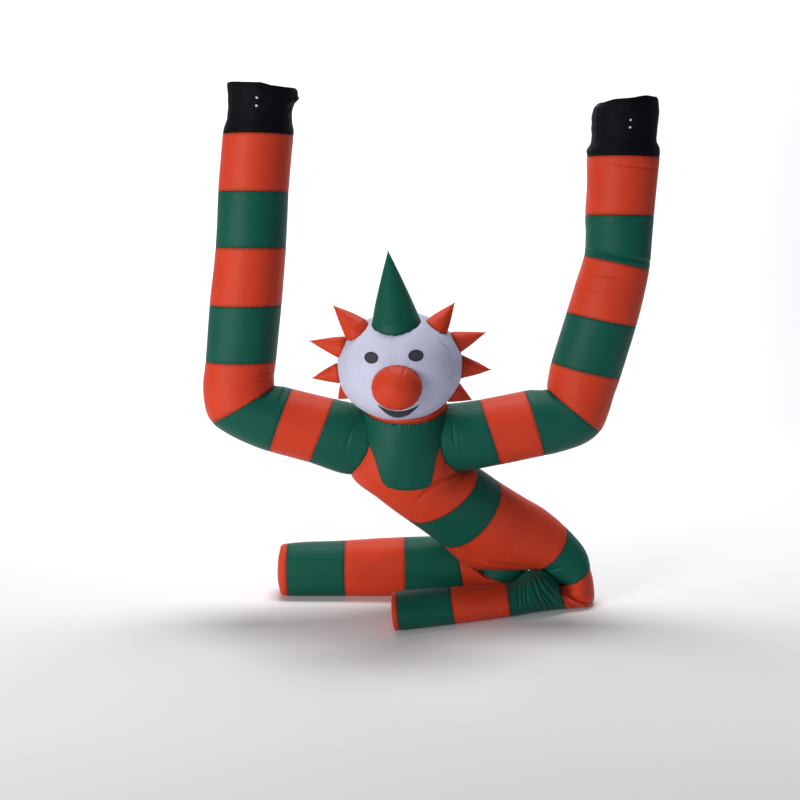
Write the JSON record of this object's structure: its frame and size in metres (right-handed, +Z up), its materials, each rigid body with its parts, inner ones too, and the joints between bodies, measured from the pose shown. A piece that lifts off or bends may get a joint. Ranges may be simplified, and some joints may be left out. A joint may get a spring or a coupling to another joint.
{
  "type": "inflatable air dancer",
  "caption": "Kneeling inflatable clown figure of striped fabric tubes, with both arms raised to open blower cuffs.",
  "frame": {"origin": "centre of the figure's box, at floor level", "axes": "+Z up, front of the figure towards -Y, +X to the viewer's right"},
  "size_m": [2.8422, 1.2879, 3.3556],
  "materials": {
    "fabric_red": "woven polyester, satin",
    "fabric_green": "woven polyester, satin",
    "fabric_black": "woven polyester, dull",
    "fabric_white": "woven polyester, satin",
    "fabric_grey": "woven polyester, dull",
    "stud_metal": "dull plated"
  },
  "bodies": {
    "root": {"Cuff_left": "fabric_black", "Arm_left_red_1": "fabric_red", "Arm_left_green_1": "fabric_green", "Arm_left_red_2": "fabric_red", "Arm_left_green_2": "fabric_green", "Arm_left_red_3": "fabric_red", "Arm_left_green_3": "fabric_green", "Arm_left_red_4": "fabric_red", "Arm_left_green_4": "fabric_green", "Stud_left_upper": "stud_metal", "Stud_left_lower": "stud_metal", "Eye_left": "fabric_grey", "Hair_left_1": "fabric_red", "Hair_left_2": "fabric_red", "Hair_left_3": "fabric_red", "Hair_left_4": "fabric_red", "Cuff_right": "fabric_black", "Arm_right_red_1": "fabric_red", "Arm_right_green_1": "fabric_green", "Arm_right_red_2": "fabric_red", "Arm_right_green_2": "fabric_green", "Arm_right_red_3": "fabric_red", "Arm_right_green_3": "fabric_green", "Arm_right_red_4": "fabric_red", "Arm_right_green_4": "fabric_green", "Stud_right_upper": "stud_metal", "Stud_right_lower": "stud_metal", "Eye_right": "fabric_grey", "Hair_right_1": "fabric_red", "Hair_right_2": "fabric_red", "Hair_right_3": "fabric_red", "Hair_right_4": "fabric_red", "Collar": "fabric_red", "Chest": "fabric_red", "Pelvis": "fabric_red", "Near_knee": "fabric_red", "Near_shin_red": "fabric_red", "Near_foot_cap": "fabric_red", "Far_knee": "fabric_red", "Far_shin_red": "fabric_red", "Far_foot_cap": "fabric_red", "Nose": "fabric_red", "Chest_panel": "fabric_green", "Waist_green": "fabric_green", "Near_thigh": "fabric_green", "Near_shin_green_1": "fabric_green", "Near_shin_green_2": "fabric_green", "Far_thigh": "fabric_green", "Far_shin_green_1": "fabric_green", "Far_shin_green_2": "fabric_green", "Hat": "fabric_green", "Head": "fabric_white", "Mouth": "fabric_grey"}
  },
  "joints": []
}
